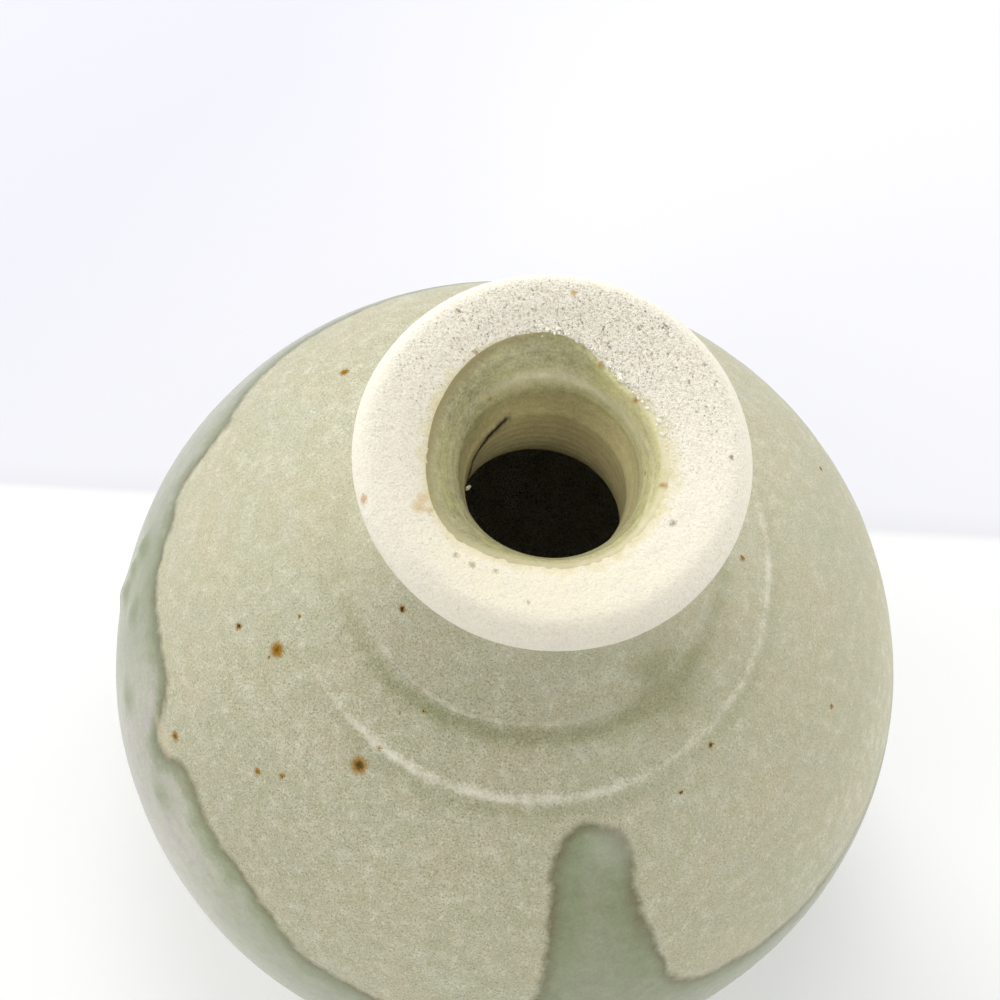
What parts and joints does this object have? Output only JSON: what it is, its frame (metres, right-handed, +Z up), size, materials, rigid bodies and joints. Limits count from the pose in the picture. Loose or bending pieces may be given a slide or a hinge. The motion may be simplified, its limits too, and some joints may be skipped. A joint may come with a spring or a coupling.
{
  "type": "ceramic vase",
  "caption": "Round stoneware bottle vase with a pale grey-green glaze, a short neck, a thick bare disc lip and a raised foot ring.",
  "frame": {"origin": "centre of the foot ring's resting face", "axes": "+Z up along the vase's own axis, towards the mouth; -Y faces the picture's viewer"},
  "size_m": [0.145, 0.145, 0.184],
  "materials": {
    "stoneware": "bare, gritty, off-white",
    "slip": "bare, matt",
    "celadon": "satin grey-green glaze"
  },
  "bodies": {
    "root": {"foot_ring": "stoneware", "lower_body": "stoneware", "body_seam_slip": "slip", "upper_body": "stoneware", "neck_seam_slip": "slip", "neck": "stoneware", "mouth_lip": "stoneware", "outer_glaze": "celadon", "mouth_glaze": "celadon"}
  },
  "joints": []
}
